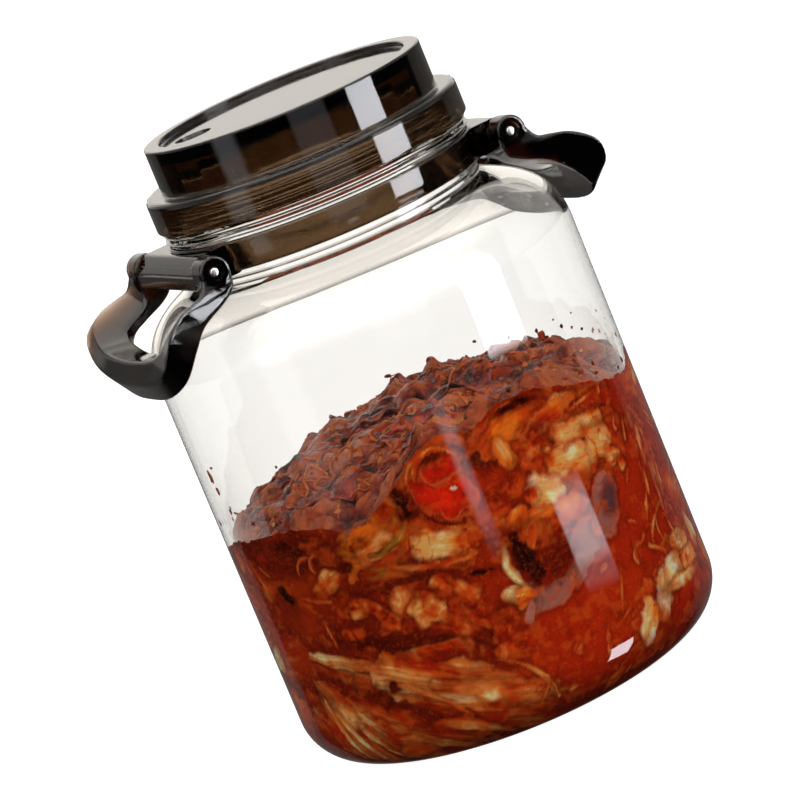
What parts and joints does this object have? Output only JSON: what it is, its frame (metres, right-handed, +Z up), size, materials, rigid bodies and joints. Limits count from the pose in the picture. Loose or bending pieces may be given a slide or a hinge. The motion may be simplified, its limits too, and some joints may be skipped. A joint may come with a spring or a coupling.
{
  "type": "storage jar of kimchi",
  "caption": "Clear glass storage jar of fermented cabbage with a smoky screw lid, a collar ring and hinged carrying handles.",
  "frame": {"origin": "centre of the jar's round base, on the surface it stands on", "axes": "+Z up along the jar's axis, +X towards the right handle, Y along the handles' hinge pins"},
  "size_m": [0.207, 0.18, 0.2612],
  "materials": {
    "clear_glass": "clear polished glass",
    "smoky_plastic": "glossy smoky brown see-through plastic",
    "handle_plastic": "glossy dark brown plastic",
    "pin_steel": "bright steel",
    "kimchi": "wet pickled cabbage in red brine"
  },
  "bodies": {
    "root": {"jar": "clear_glass", "lid": "smoky_plastic", "collar": "smoky_plastic", "hinge_pin_right": "pin_steel", "hinge_pin_left": "pin_steel", "kimchi": "kimchi"},
    "handle_right": {"handle_right": "handle_plastic"},
    "handle_left": {"handle_left": "handle_plastic"}
  },
  "joints": [
    {"name": "handle_right_swing", "type": "hinge", "parent": "root", "child": "handle_right", "pos_m": [0.0683, 0, 0.2147], "axis": [0, -1, 0], "range_deg": [0, 126]},
    {"name": "handle_left_swing", "type": "hinge", "parent": "root", "child": "handle_left", "pos_m": [-0.0683, 0, 0.2147], "axis": [0, 1, 0], "range_deg": [0, 126]}
  ]
}
